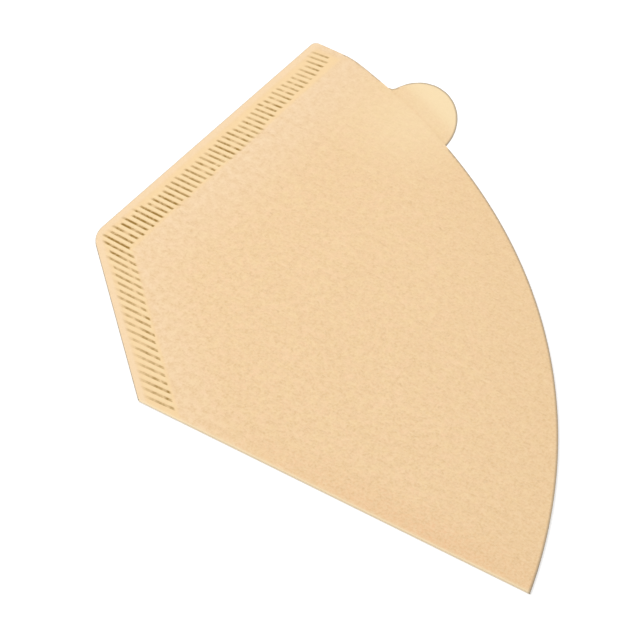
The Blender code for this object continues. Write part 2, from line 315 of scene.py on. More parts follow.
# %% [markdown]
# ## Section of the folded sheet
#
# Seen from its edge, the filter is two plies of 0.2 mm paper. They touch in the
# crimped band and lie apart in the pocket, so half the distance between their middles
# grows from the margin to the panel. At the fold the same half distance is the radius
# of the bend. A flat point's place across the blank is its way along the paper, so the
# bend takes a quarter turn of that radius on each side.

# %% Gap between the plies, and the bend
PLY = 0.20 * MM
THICKNESS = 0.80 * MM
MIDDLE_Z = THICKNESS / 2
MARGIN_GAP = 0.105 * MM
BAND_GAP = 0.125 * MM
POCKET_GAP = (THICKNESS - PLY) / 2
MARGIN_EASE = 0.8 * MM
BEND_STEPS = 8


def half_gap(x, y):
    """Half the distance between the middles of the two plies."""
    in_band = rising(x, bars_outer_x(y), MARGIN_EASE)
    in_pocket = rising(x, bars_inner_x(y), POCKET_EASE)
    return MARGIN_GAP + (BAND_GAP - MARGIN_GAP) * in_band + (POCKET_GAP - BAND_GAP) * in_pocket


def paper_length(x, y):
    """How far a point at height y is from the middle of the bend, along the paper."""
    bend = half_gap(x, 0.0)
    return y - (bend + PLY / 2) + bend * math.pi / 2


print("bend radius at the mouth in mm:", round(half_gap(FOLD_LENGTH, 0.0) / MM, 3))

# %% [markdown]
# ## Cutting the blank
#
# A grid primitive is the blank before cutting. It gets one row of vertices for every
# height on the back ply, for the bend, and for every height on the front ply. Each
# vertex then moves to its place on the flat blank, and so the grid takes the outline.
# Its row's height is kept on it for the crimp, because a leaning row has no one height
# of its own. Everything is deselected first, so that the frame's own parts stay out of
# it.

# %% The grid
bend_turns = [math.pi * (i / BEND_STEPS - 0.5) for i in range(BEND_STEPS + 1)]
row_count = 2 * len(heights) + len(bend_turns)

bpy.ops.object.select_all(action="DESELECT")
bpy.ops.mesh.primitive_grid_add(
    x_subdivisions=COLUMNS, y_subdivisions=row_count - 1, size=2.0, calc_uvs=True
)
paper = bpy.context.object
paper.name = "crimped_filter"
mesh = paper.data
mesh.name = "crimped_filter"
print("grid vertices:", len(mesh.vertices), "wanted:", (COLUMNS + 1) * row_count)

# %% Moving the grid to the blank's outline
bar_height = mesh.attributes.new("bar_height", "FLOAT", "POINT")
rows = {}
for number in range(row_count):
    if number < len(heights):
        rows[number] = (-1, heights[-1 - number])
    elif number < len(heights) + len(bend_turns):
        rows[number] = (0, bend_turns[number - len(heights)])
    else:
        rows[number] = (1, heights[number - len(heights) - len(bend_turns)])

row_cache = {}
for vertex in mesh.vertices:
    number = round((vertex.co.y + 1) / 2 * (row_count - 1))
    column = round((vertex.co.x + 1) / 2 * COLUMNS)
    side, value = rows[number]
    y = 0.0 if side == 0 else value
    if y not in row_cache:
        row_cache[y] = row_places(y)
    places, middle = row_cache[y]
    x = places[column]
    if side == 0:
        across = value * half_gap(x, 0.0)
    else:
        across = side * paper_length(x, leaning_y(x, y, middle))
    vertex.co = (x, across, 0.0)
    bar_height.data[vertex.index].value = y
first, last = mesh.vertices[0].co.y, mesh.vertices[-1].co.y
print(f"the blank's first and last row at {first / MM:.1f} and {last / MM:.1f} mm")

# %% [markdown]
# ## The pull tab
#
# The tab is a round lobe of the back ply only. Its edge is an oval that leans away from
# the side seam, and on that side a small notch eases it into the mouth edge. The rim
# edges under the tab are extruded once, the new vertices are drawn out to the lobe's
# edge, and the long faces are subdivided across.

# %% The lobe's edge
TAB_HALF_WIDTH = 11.7 * MM
TAB_HALF_LENGTH = 16.25 * MM
TAB_LEAN = math.radians(105.0)
TAB_FROM_CORNER = 42.6 * MM
TAB_INSET = 1.5 * MM
TAB_NOTCH_RADIUS = 2.5 * MM
NOTCH_POINTS = 20
LOBE_POINTS = 160
SMALL_TURN = 0.001

tab_angle = angle_of(MOUTH_CORNER - MOUTH_CENTRE) - TAB_FROM_CORNER / MOUTH_RADIUS
TAB_CENTRE = MOUTH_CENTRE + (MOUTH_RADIUS - TAB_INSET) * along(tab_angle)


def tab_point(turn):
    """A point of the oval, by its angle round the oval from the long axis."""
    long_axis = along(TAB_LEAN) * TAB_HALF_LENGTH * math.cos(turn)
    short_axis = along(TAB_LEAN + math.pi / 2) * TAB_HALF_WIDTH * math.sin(turn)
    return TAB_CENTRE + long_axis + short_axis


def notch_centre(turn):
    """Centre of a notch that touches the oval there, from outside."""
    ahead = tab_point(turn + SMALL_TURN) - tab_point(turn - SMALL_TURN)
    outward = Vector((ahead.y, -ahead.x)).normalized()
    return tab_point(turn) + outward * TAB_NOTCH_RADIUS


def beyond_mouth(point, distance):
    return (point - MOUTH_CENTRE).length - MOUTH_RADIUS - distance


notch_turn = root(lambda turn: beyond_mouth(notch_centre(turn), TAB_NOTCH_RADIUS), 0.0, math.pi)
notch = notch_centre(notch_turn)
fold_side_turn = root(lambda turn: beyond_mouth(tab_point(turn), 0.0), -math.pi, -math.pi / 2)
notch_start = angle_of(MOUTH_CENTRE - notch)
notch_end = angle_of(tab_point(notch_turn) - notch)
if notch_end < notch_start:
    notch_end += 2 * math.pi

lobe_edge = [
    notch + TAB_NOTCH_RADIUS * along(notch_start + (notch_end - notch_start) * i / NOTCH_POINTS)
    for i in range(NOTCH_POINTS)
]
lobe_edge += [
    tab_point(notch_turn + (fold_side_turn - notch_turn) * i / LOBE_POINTS)
    for i in range(LOBE_POINTS + 1)
]
TAB_ANGLES = (angle_of(lobe_edge[-1] - MOUTH_CENTRE), angle_of(lobe_edge[0] - MOUTH_CENTRE))
print("tab's tip in mm:", [round(c / MM, 1) for c in tab_point(0.0)])


# %% A point at a share of a line's length
NO_LENGTH = 1e-9


def point_at(line, share):
    lengths = [0.0]
    for here, ahead in zip(line, line[1:]):
        lengths.append(lengths[-1] + (ahead - here).length)
    wanted = share * lengths[-1]
    for i in range(1, len(line)):
        if lengths[i] >= wanted or i == len(line) - 1:
            part = (wanted - lengths[i - 1]) / max(lengths[i] - lengths[i - 1], NO_LENGTH)
            return line[i - 1].lerp(line[i], part)


# %% Extruding the rim under the tab
TAB_CUTS = 9
ON_THE_RIM = 1e-7
WELD = 5e-7

rim = []
for vertex in mesh.vertices:
    y = bar_height.data[vertex.index].value
    if vertex.co.y < 0 and y > 0 and abs(vertex.co.x - right_x(y)) < ON_THE_RIM:
        turn = angle_of(Vector((vertex.co.x, y)) - MOUTH_CENTRE)
        if TAB_ANGLES[0] <= turn <= TAB_ANGLES[1]:
            rim.append((turn, vertex.index))
rim = [index for turn, index in sorted(rim, reverse=True)]
in_rim = set(rim)
plain_count = len(mesh.vertices)

bpy.ops.object.mode_set(mode="EDIT")
bpy.ops.mesh.select_mode(type="EDGE")
bpy.ops.mesh.select_all(action="DESELECT")
bpy.ops.object.mode_set(mode="OBJECT")
for edge in mesh.edges:
    edge.select = edge.vertices[0] in in_rim and edge.vertices[1] in in_rim
bpy.ops.object.mode_set(mode="EDIT")
bpy.ops.mesh.extrude_edges_move(TRANSFORM_OT_translate={"value": (0, 0, 0)})
bpy.ops.object.mode_set(mode="OBJECT")
print("rim vertices:", len(rim), "new vertices:", len(mesh.vertices) - plain_count)

# %% Drawing the new vertices out to the lobe
bar_height = mesh.attributes["bar_height"]  # edit mode makes a new copy of the attributes
base = [Vector((mesh.vertices[i].co.x, bar_height.data[i].value)) for i in rim]
base_line = {index: n for n, index in enumerate(rim)}
run = [0.0]
for here, ahead in zip(base, base[1:]):
    run.append(run[-1] + (ahead - here).length)

spokes = []
for edge in mesh.edges:
    low, high = sorted(edge.vertices)
    if low < plain_count <= high:
        spokes.append(edge.index)
        number = base_line[low]
        if 0 < number < len(rim) - 1:
            place = point_at(lobe_edge, run[number] / run[-1])
            mesh.vertices[high].co = (place.x, -paper_length(place.x, place.y), 0.0)

bpy.ops.object.mode_set(mode="EDIT")
bpy.ops.mesh.select_all(action="DESELECT")
bpy.ops.object.mode_set(mode="OBJECT")
for index in spokes:
    mesh.edges[index].select = True
bpy.ops.object.mode_set(mode="EDIT")
bpy.ops.mesh.subdivide(number_cuts=TAB_CUTS)
bpy.ops.mesh.select_all(action="SELECT")
bpy.ops.mesh.remove_doubles(threshold=WELD)
bpy.ops.object.mode_set(mode="OBJECT")
print("with the tab:", len(mesh.vertices), "vertices,", len(mesh.polygons), "faces")

# %% [markdown]
# ## The blank's own measure
#
# While the sheet is still flat, its places are its real cut size. They are written
# into the UV map in metres, so the paper's grain will follow the sheet round the fold
# as it does on real paper.

# %% UV map in metres
sheet_map = mesh.uv_layers.active
sheet_map.name = "sheet"
for loop in mesh.loops:
    sheet_map.data[loop.index].uv = mesh.vertices[loop.vertex_index].co.xy

# %% [markdown]
# The cut gets a fine darker line of painted shade at the paper's edge. The flat blank
# is also the place to measure how far each point is from the cut, because on the folded
# sheet the edges of two plies lie over each other. An edge of the mesh with only one
# face is on the cut.

# %% Distance from the cut, in millimetres
sides_of_edge = {}
for face in mesh.polygons:
    for key in face.edge_keys:
        sides_of_edge[key] = sides_of_edge.get(key, 0) + 1
on_cut = sorted({index for key, count in sides_of_edge.items() if count == 1 for index in key})
cut_points = KDTree(len(on_cut))
for index in on_cut:
    cut_points.insert(mesh.vertices[index].co, index)
cut_points.balance()
from_cut = mesh.attributes.new("from_cut", "FLOAT", "POINT")
for vertex in mesh.vertices:
    from_cut.data[vertex.index].value = cut_points.find(vertex.co)[2] / MM
print("vertices on the cut:", len(on_cut))

# %% [markdown]
# ## The crimp's relief
#
# A crimping wheel has teeth on both sides of the paper. The front teeth press narrow
# bars into the front, and the back teeth press bars into the back half a pitch further
# on, so the section is a row of steps: in, level, out, level. No two bars are quite
# alike, because the paper's fibres give way unevenly. A seeded random table gives each
# bar its own depth, start and end, and a short place where it is faint, so every run is
# the same.

# %% Each bar's own depth, ends and faint place
CRIMP_DEPTH = 0.17 * MM
BAR_SEED = 41
LIGHTEST_BAR = 0.72
START_JITTER = 0.5 * MM
END_JITTER = 0.35 * MM
# The band's two edges wander a little off the seams' straight lines. For heights in mm:
# how far in from them the bars start and end, in mm.
BAND_EDGES = (
    (0, -0.9, 0.0),
    (24, -0.8, 0.2),
    (37, -0.5, 1.2),
    (50, -0.4, 0.0),
    (64, 0.6, 0.5),
    (102, 0.7, 0.9),
    (112, 0.5, -0.1),
    (134, 0.3, -0.6),
    (141, -1.1, -1.8),
)
# Up to this height in mm: where the bars' faint place lies, how faint it is and how long
# it is, as shares of the bar.
FAINT_ZONES = (
    (16, (0.66, 0.76), (0.3, 0.9), (0.06, 0.09)),
    (25, (0.20, 0.45), (0.3, 0.8), (0.12, 0.20)),
    (43, (0.66, 0.76), (0.3, 0.9), (0.06, 0.09)),
    (96, (0.10, 0.85), (-0.3, 0.8), (0.05, 0.14)),
    (128, (0.36, 0.60), (0.25, 0.85), (0.08, 0.13)),
    (150, (0.10, 0.85), (-0.3, 0.8), (0.05, 0.14)),
)


def band_edges(height):
    """How far in the bars start and end at a height."""
    for here, ahead in zip(BAND_EDGES, BAND_EDGES[1:]):
        if height <= ahead[0] * MM:
            place = Vector(here).lerp(ahead, (height / MM - here[0]) / (ahead[0] - here[0]))
            return place[1] * MM, place[2] * MM


wheel = random.Random(BAR_SEED)
BAR_TABLE = []
for step in range(2 * BAR_COUNT - 1):
    height = CRIMP_START + step * CRIMP_PITCH / 2
    start, end = band_edges(height)
    _, faint_at, faint_by, faint_length = next(z for z in FAINT_ZONES if height < z[0] * MM)
    bar = {
        "depth": wheel.uniform(LIGHTEST_BAR, 1.0),
        "start": start + wheel.uniform(-START_JITTER, START_JITTER),
        "end": end + wheel.uniform(-END_JITTER, END_JITTER),
        "faint_at": wheel.uniform(*faint_at),
        "faint_by": max(0.0, wheel.uniform(*faint_by)),
        "faint_length": wheel.uniform(*faint_length),
    }
    BAR_TABLE.append(bar)
print("bars pressed from both sides:", len(BAR_TABLE))

# %% How hard the wheel pressed
SEAM_MEETING_Y = 58 * MM
SEAM_MEETING_SPREAD = 24 * MM
FOLD_PRESS = (6 * MM, 26 * MM)  # the start and the length of each ease
MOUTH_PRESS = (100 * MM, 32 * MM)
BOTTOM_PRESS = (36 * MM, 10 * MM)
OUTER_HALF = 0.75
# What each of those places takes off the press or adds to it, all along the bar and on
# its outer half.
WHOLE_BAR = {"off_corner": -0.14, "in_bottom": -0.08, "by_fold": 0.03, "by_mouth": -0.16}
ON_OUTER_HALF = {"everywhere": -0.10, "by_fold": -0.40, "by_mouth": -0.08}
START_EASE = 0.8 * MM
END_EASE = 0.5 * MM


def wheel_pressure(share, y):
    """Most near the seams' meeting, least by the mouth and on the outer half by the fold."""
    places = {
        "everywhere": 1.0,
        "off_corner": rising(abs(y - SEAM_MEETING_Y), 0.0, SEAM_MEETING_SPREAD),
        "in_bottom": falling(y, *BOTTOM_PRESS),
        "by_fold": falling(y, *FOLD_PRESS),
        "by_mouth": rising(y, *MOUTH_PRESS),
    }
    whole = sum(weight * places[name] for name, weight in WHOLE_BAR.items())
    outer = sum(weight * places[name] for name, weight in ON_OUTER_HALF.items())
    return 1 + whole + outer * falling(share, 0.0, OUTER_HALF)


def crimp(x, y):
    """How far the paper is pressed at a bar's height y: -1 in from the front, +1 from the back."""
    step = round((y - CRIMP_START) / (CRIMP_PITCH / 2))
    if not 0 <= step < len(BAR_TABLE):
        return 0.0
    off = abs(y - CRIMP_START - step * CRIMP_PITCH / 2) / CRIMP_PITCH
    across = 1 - min(max((off - BAR_BOTTOM) / (BAR_SHOULDER - BAR_BOTTOM), 0.0), 1.0)
    bar = BAR_TABLE[step]
    start = bars_outer_x(y) + bar["start"]
    end = bars_inner_x(y) + bar["end"]
    share = min(max((x - start) / (end - start), 0.0), 1.0)
    inside = rising(x, start, START_EASE) * rising(end - x, 0.0, END_EASE)
    faint = bar["faint_by"] * math.exp(-(((share - bar["faint_at"]) / bar["faint_length"]) ** 2))
    press = across * inside * bar["depth"] * wheel_pressure(share, y) * (1 - faint)
    return (1 if step % 2 else -1) * press


first_middle = (bars_outer_x(CRIMP_START) + bars_inner_x(CRIMP_START)) / 2
print("crimp in the middle of the first bar:", round(crimp(first_middle, CRIMP_START), 2))

# %% [markdown]
# ## Folding
#
# Every vertex now goes from its flat place to its folded place. Below the quarter turn
# it lies on the bend, beyond it on the front or the back ply. The front ply also
# stands up a little towards the mouth, as the pocket of a pressed filter does, and
# both plies follow the crimp.

# %% How far the front ply stands up
CROWN = 0.6 * MM
CROWN_RISE = 30 * MM

apex_x = line_x(SIDE_INNER_LOW, SIDE_INNER_HIGH - SIDE_INNER_LOW, 0.0)
opening = angle_of(SIDE_INNER_HIGH - SIDE_INNER_LOW)
mouth_middle = (angle_of(FOLD_END - MOUTH_CENTRE) + angle_of(MOUTH_CORNER - MOUTH_CENTRE)) / 2
full_reach = (MOUTH_CENTRE + MOUTH_RADIUS * along(mouth_middle) - Vector((apex_x, 0.0))).length


def crown(x, y):
    """None at the fold and the seams, most in the middle of the mouth."""
    turn = math.atan2(y, x - apex_x)
    if not 0.0 < turn < opening:
        return 0.0
    across = math.sin(math.pi * turn / opening) ** 2
    from_bottom = (Vector((x, y)) - BOTTOM_INNER).dot(inward(BOTTOM_ANGLE))
    reach = math.hypot(x - apex_x, y) / full_reach
    return CROWN * across * reach * rising(from_bottom, 0.0, CROWN_RISE)


# %% The fold
END_OF_BEND = 1e-9  # the bend's last row already belongs to the ply
crimped = mesh.attributes.new("crimped", "FLOAT", "POINT")
bar_height = mesh.attributes["bar_height"]
for vertex in mesh.vertices:
    x, across = vertex.co.x, vertex.co.y
    bend = half_gap(x, 0.0)
    if abs(across) < bend * math.pi / 2 - END_OF_BEND:
        turn = across / bend
        vertex.co = (x, bend + PLY / 2 - bend * math.cos(turn), MIDDLE_Z + bend * math.sin(turn))
        continue
    y = abs(across) - bend * math.pi / 2 + bend + PLY / 2
    press = crimp(x, bar_height.data[vertex.index].value)
    crimped.data[vertex.index].value = press
    z = MIDDLE_Z + math.copysign(half_gap(x, y), across) + CRIMP_DEPTH * press
    if across > 0:
        z += crown(x, y)
    vertex.co = (x, y, z)
mesh.update()
print("folded in mm:", [round(c / MM, 2) for c in paper.dimensions[:]])

# %% [markdown]
# ## Into the frame
#
# The plan's middle goes to the middle of the frame's box, and the plan turns by half
# the cone angle, so that the mouth faces +X. The turn and the move go into the mesh
# itself with Apply Transform. The object then sits at the origin unturned, as the
# frame's own parts do.

# %% Turn and place
low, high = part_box("filter_paper")
to_frame = Matrix.Rotation(-CONE_ANGLE / 2, 3, "Z")
turned = [to_frame @ v.co for v in mesh.vertices]
middle = Vector([(min(p[i] for p in turned) + max(p[i] for p in turned)) / 2 for i in (0, 1)])
paper.rotation_euler = (0.0, 0.0, -CONE_ANGLE / 2)
paper.location = ((low[0] + high[0]) / 2 - middle.x, (low[1] + high[1]) / 2 - middle.y, low[2])
PLAN_PLACE = Vector(paper.location[:2])
bpy.ops.object.transform_apply(location=True, rotation=True, scale=True)
print("fold corner in the frame, mm:", [round(c / MM, 2) for c in PLAN_PLACE])

# %% [markdown]
# ## The paper's thickness
#
# Solidify gives the mid-surface its 0.2 mm, half on each side, and closes the rim, so
# the cut edges are real faces. It is applied, because the next step has to tell the
# two faces of the paper apart.

# %% Solidify
SHARP_ANGLE = math.radians(50)
bpy.ops.object.modifier_add(type="SOLIDIFY")
solid = paper.modifiers[-1]
solid.thickness = PLY
solid.offset = 0.0
solid.use_even_offset = False
bpy.ops.object.modifier_apply(modifier=solid.name)
bpy.ops.object.shade_smooth_by_angle(angle=SHARP_ANGLE)
mesh = paper.data
triangles = sum(len(face.vertices) - 2 for face in mesh.polygons)
print("triangles:", triangles, "size in mm:", [round(c / MM, 2) for c in paper.dimensions[:]])

# %% [markdown]
# ## What the colour needs to know
#
# Crimping squeezes the paper hard, and the bottoms of the bars come out darker. Their
# dark tone is partly that pressed paper and partly painted shade of the grooves, and
# the ridges between them get a painted highlight. The pressed side is the one that the
# tooth touched: the front face for the front bars, the back face for the others. So the
# sign of the crimp is compared with the way the face looks.
#
# The margin has a soft tone of its own. The paper beside the bars gets painted light,
# the fold's strip and the mouth's strip get painted shade, the fold's very edge a
# painted highlight, and the tab and the paper round it a lighter tone of painted light
# shining through its single ply. The cut gets a thin line of painted shade. On the
# front the line skips the tab, where the front ply's edge lies over more paper. All of
# this is stored on the vertices, where the material can read it.

# %% Where each tone begins, and over what length it fades
NEAR_MOUTH = 2 * MM
TAB_END_FADE = 2 * MM
CUT_SCALE_MOUTH = 0.6
CUT_SCALE_SEAMS = 3.0
# The tab's painted light, for light shining through its single ply, spreads onto the paper round
# it.
TAB_GLOW = 0.5
TAB_GLOW_REACH = 30 * MM
TAB_FADE = 9 * MM
# The painted shade towards the mouth: where it ends round the mouth, and how far in it reaches.
MOUTH_SHADE_END = math.radians(50)
MOUTH_SHADE_FADE = math.radians(15)
MOUTH_SHADE_REACH = 30 * MM
BAND_LEAD = 1.2
# The band's tone runs this far past the bars' inner ends, where it is a painted highlight.
BAND_FADE = 1.6 * MM
LAST_BAR_FADE = 2.5 * MM
# How far the painted light beside the bars reaches, and how weak it is by the fold.
BY_BARS_REACH = 24 * MM
BY_BARS_AT_FOLD = 0.6
BY_BARS_RISE = 120 * MM
# The painted highlight on the fold's very edge: where it starts to fade, and over what length.
FOLD_EDGE = (0.2 * MM, 0.5 * MM)
# The painted shade by the fold grows along it towards its end, and fades up from it.
FOLD_SHADE_RISE = (10 * MM, 80 * MM)
FOLD_SHADE_REACH = 14 * MM
# The slits' dark tone, pressed paper and painted shade, is a quarter stronger around the seams'
# meeting.
DARK_CORNER_Y = 50 * MM
DARK_CORNER_SPREAD = 14 * MM
DARK_CORNER = 0.25
TO_PLAN = Matrix.Rotation(CONE_ANGLE / 2, 2)


def plan_of(point):
    """A frame point back in the filter's plan."""
    return TO_PLAN @ (point.xy - PLAN_PLACE)


def off_the_cut(place, beyond, is_back, cut_distance):
    """Distance from the cut for its line of painted shade, which is wider at the mouth and skips
    the tab.
    """
    over_tab = 0.0
    if not is_back and beyond > -NEAR_MOUTH:
        angle = angle_of(place - MOUTH_CENTRE)
        into_tab = min(angle - TAB_ANGLES[0], TAB_ANGLES[1] - angle)
        over_tab = smooth(into_tab * MOUTH_RADIUS / TAB_END_FADE + 1)
    at_mouth = place.x > bars_inner_x(place.y) and beyond > -NEAR_MOUTH
    return over_tab + cut_distance * (CUT_SCALE_MOUTH if at_mouth else CUT_SCALE_SEAMS)


def tones(place, press, is_back, cut_distance):
    """The share of each tone at a place of the plan."""
    x, y = place
    out = place - MOUTH_CENTRE
    beyond = out.length - MOUTH_RADIUS
    on_tab = is_back and beyond > 0
    toned = falling(angle_of(out), MOUTH_SHADE_END, MOUTH_SHADE_FADE)
    by_tab = TAB_GLOW * falling((place - TAB_CENTRE).length, 0.0, TAB_GLOW_REACH)
    past_margin = smooth((x - bars_outer_x(y)) / MARGIN_EASE + BAND_LEAD)
    past_bars = rising(x, bars_inner_x(y), BAND_FADE)
    past_bars = max(past_bars, rising(y, LAST_BAR_Y, LAST_BAR_FADE))
    beside = past_bars * falling(x, bars_inner_x(y), BY_BARS_REACH)
    at_corner = falling(abs(y - DARK_CORNER_Y), 0.0, DARK_CORNER_SPREAD)
    return {
        # The slit's dark tone is partly pressed paper and partly painted shade in the groove.
        "slit": max(0.0, -press) * (1 + DARK_CORNER * at_corner),
        # Painted highlight on the ridges between the bars.
        "ridge_highlight": max(0.0, press),
        # Lighter over the band, and a painted highlight just past the bars' inner ends.
        "band": past_margin * (1 - past_bars),
        "margin": 1 - past_margin,
        # Painted light on the paper beside the bars.
        "by_bars": beside * (BY_BARS_AT_FOLD + (1 - BY_BARS_AT_FOLD) * smooth(y / BY_BARS_RISE)),
        # Painted highlight on the fold's very edge.
        "fold_highlight": falling(y, *FOLD_EDGE),
        # Painted shade along the fold, more towards its end.
        "by_fold": rising(x, *FOLD_SHADE_RISE) * falling(y, 0.0, FOLD_SHADE_REACH),
        # Painted shade towards the mouth, none on the tab.
        "by_mouth": 0.0 if on_tab else toned * falling(-beyond, 0.0, MOUTH_SHADE_REACH),
        # Painted light shining through the tab's single ply, spread a little round it.
        "tab": max(by_tab, rising(beyond, 0.0, TAB_FADE) if is_back else 0.0),
        # Distance for the painted shade line along the cut.
        "cut": off_the_cut(place, beyond, is_back, cut_distance),
        "off_fold": y / MOUTH_END_Y,
    }


# %% The tones as attributes
names = list(tones(TAB_CENTRE, 0.0, True, 0.0))  # the same at any place
for name in names:
    mesh.attributes.new(name, "FLOAT", "POINT")
marks = {name: mesh.attributes[name].data for name in names}
crimped = mesh.attributes["crimped"].data
from_cut = mesh.attributes["from_cut"].data
for vertex in mesh.vertices:
    place = plan_of(vertex.co)
    press = crimped[vertex.index].value * (1 if vertex.normal.z > 0 else -1)
    is_back = vertex.co.z < MIDDLE_Z
    shares = tones(place, press, is_back, from_cut[vertex.index].value)
    for name, share in shares.items():
        marks[name][vertex.index].value = share
print("marked", len(mesh.vertices), "vertices with", len(marks), "tones each")

# %% [markdown]
# ## The paper
#
# Unbleached filter paper is a felt of wood fibres. Close to, it is mottled at three
# scales: soft clouds where the pulp lay thicker, a fine grain, and single fibres that
# show as short curved lines. Each is a noise texture read from the sheet's own map,
# and the grain and the fibres also drive a very shallow bump. The painted shade by the
# fold and the mouth and the painted light beside the bars lie under the grain. The
# tab's painted light, the margin and band tones, the ridges' painted highlight, the
# slits' pressed and painted-shade tone, the fold's painted highlight and the cut's
# painted shade lie over it.

# %% Small helpers for node trees
def add(tree, kind, **values):
    """A new node with its inputs or properties set by name."""
    node = tree.nodes.new(kind)
    for name, value in values.items():
        socket = node.inputs.get(name.replace("_", " "))
        if socket is not None:
            socket.default_value = value
        else:
            setattr(node, name, value)
    return node


def feed(tree, socket, value):
    """Links a socket to an input, or sets it to a plain value."""
    if isinstance(value, bpy.types.NodeSocket):
        tree.links.new(value, socket)
    else:
        socket.default_value = value


def mix_colour(tree, factor, below, above):
    """A colour mix. Each input is a socket, or a value to set."""
    node = tree.nodes.new("ShaderNodeMix")
    node.data_type = "RGBA"
    for number, value in ((0, factor), (6, below), (7, above)):
        feed(tree, node.inputs[number], value)
    return node.outputs[2]


def math_node(tree, operation, first, second=0.0):
    node = tree.nodes.new("ShaderNodeMath")
    node.operation = operation
    feed(tree, node.inputs[0], first)
    feed(tree, node.inputs[1], second)
    return node.outputs[0]


def times(tree, first, second):
    return math_node(tree, "MULTIPLY", first, second)


def spread(tree, value, low, high, to_low=0.0, to_high=1.0):
    """Stretches a range of values to another range, and clamps it."""
    node = add(
        tree, "ShaderNodeMapRange", From_Min=low, From_Max=high, To_Min=to_low, To_Max=to_high
    )
    tree.links.new(value, node.inputs["Value"])
    return node.outputs["Result"]


def mark(tree, name):
    """A vertex attribute as a value."""
    return add(tree, "ShaderNodeAttribute", attribute_name=name).outputs["Fac"]


def seen_directly(tree):
    """1 to the camera, also in a mirror or through glass, and 0 to light that falls on things."""
    path = add(tree, "ShaderNodeLightPath")
    seen = math_node(tree, "MAXIMUM", path.outputs["Is Camera Ray"], path.outputs["Is Glossy Ray"])
    return math_node(tree, "MAXIMUM", seen, path.outputs["Is Transmission Ray"])


# %% The paper's colours
PAPER = (0.926, 0.668, 0.366, 1.0)
PAPER_ROSY = (0.942, 0.648, 0.386, 1.0)
CLOUD = (0.868, 0.598, 0.325, 1.0)
GRAIN_DARK = (0.812, 0.548, 0.290, 1.0)
FIBRE_DARK = (0.640, 0.400, 0.200, 1.0)
FIBRE_LIGHT = (1.000, 0.770, 0.500, 1.0)
# The bars' bottoms: pressed paper, darkened further as painted shade.
PRESSED_AND_SHADED = (0.360, 0.208, 0.045, 1.0)
# Painted highlight of the ridges.
RIDGE_HIGHLIGHT = (0.990, 0.775, 0.450, 1.0)
# The crimped band's lighter tone; just past the bars' inner ends it is a painted highlight.
BAND_TONE = (0.975, 0.715, 0.400, 1.0)
MARGIN_TONE = (0.985, 0.750, 0.490, 1.0)
# Painted shade along the fold, darker and warmer.
FOLD_SHADE = (0.900, 0.560, 0.305, 1.0)
# Painted shade towards the mouth.
MOUTH_SHADE = (0.870, 0.605, 0.330, 1.0)
# Painted light beside the bars.
SEAM_SIDE_LIGHT = (0.960, 0.738, 0.510, 1.0)
# Painted light shining through the single ply of the tab.
TAB_LIGHT_THROUGH = (1.000, 0.805, 0.500, 1.0)
# Painted highlight on the fold's edge.
FOLD_HIGHLIGHT = (1.000, 0.820, 0.540, 1.0)
# Painted shade along the cut edges.
CUT_SHADE = (0.330, 0.260, 0.180, 1.0)

ROUGHNESS = 0.92
SPECULAR = 0.25

finish = bpy.data.materials.new("unbleached_filter_paper")
finish.use_nodes = True
tree = finish.node_tree
shader = tree.nodes["Principled BSDF"]
shader.inputs["Roughness"].default_value = ROUGHNESS
shader.inputs["Specular IOR Level"].default_value = SPECULAR
print("material:", finish.name)

# %% Noises over the sheet
THREAD_STRETCH = (0.35, 1.0, 1.0)
THREAD_WARP = 1.2

sheet_uv = add(tree, "ShaderNodeUVMap", uv_map="sheet")
in_mm = add(tree, "ShaderNodeMapping")
in_mm.inputs["Scale"].default_value = (1 / MM, 1 / MM, 1.0)
tree.links.new(sheet_uv.outputs["UV"], in_mm.inputs["Vector"])


def noise(scale, detail=2.0, roughness=0.5, distortion=0.0, stretch=(1.0, 1.0, 1.0), turn=0.0):
    """A noise over the sheet. The scale is in features per millimetre."""
    place = add(tree, "ShaderNodeMapping")
    place.inputs["Scale"].default_value = stretch
    place.inputs["Rotation"].default_value = (0.0, 0.0, turn)
    tree.links.new(in_mm.outputs["Vector"], place.inputs["Vector"])
    texture = add(tree, "ShaderNodeTexNoise", Scale=scale, Detail=detail)
    texture.inputs["Roughness"].default_value = roughness
    texture.inputs["Distortion"].default_value = distortion
    tree.links.new(place.outputs["Vector"], texture.inputs["Vector"])
    return texture.outputs["Fac"]


def threads(scale, turn, width):
    """Thin curved lines: the places where a stretched noise passes its middle value."""
    value = noise(scale, detail=1.0, distortion=THREAD_WARP, stretch=THREAD_STRETCH, turn=turn)
    off = math_node(tree, "ABSOLUTE", math_node(tree, "SUBTRACT", value, 0.5))
    return spread(tree, off, 0.0, width, 1.0, 0.0)


# %% Clouds, grain and fibres
GRAIN_MIDDLE = 0.52
GRAIN_AT_FOLD = 1.02
GRAIN_AT_CORNER = 0.55

strength = spread(tree, mark(tree, "off_fold"), 0.0, 1.0, GRAIN_AT_FOLD, GRAIN_AT_CORNER)


def milder(value):
    """A noise drawn in towards its middle, more so away from the fold."""
    off = math_node(tree, "SUBTRACT", value, GRAIN_MIDDLE)
    return math_node(tree, "ADD", times(tree, off, strength), GRAIN_MIDDLE)


clouds = noise(0.10, detail=3.0, roughness=0.55)
hues = noise(0.28)
grain = milder(noise(0.52, detail=5.0, roughness=0.66))
fine = milder(noise(1.4, roughness=0.6))
dark_fibres = threads(0.55, math.radians(20), 0.020)
light_fibres = threads(0.70, math.radians(-50), 0.024)
fibre_patches = spread(tree, noise(0.4), 0.45, 0.7)
print("nodes for the noises:", len(tree.nodes))

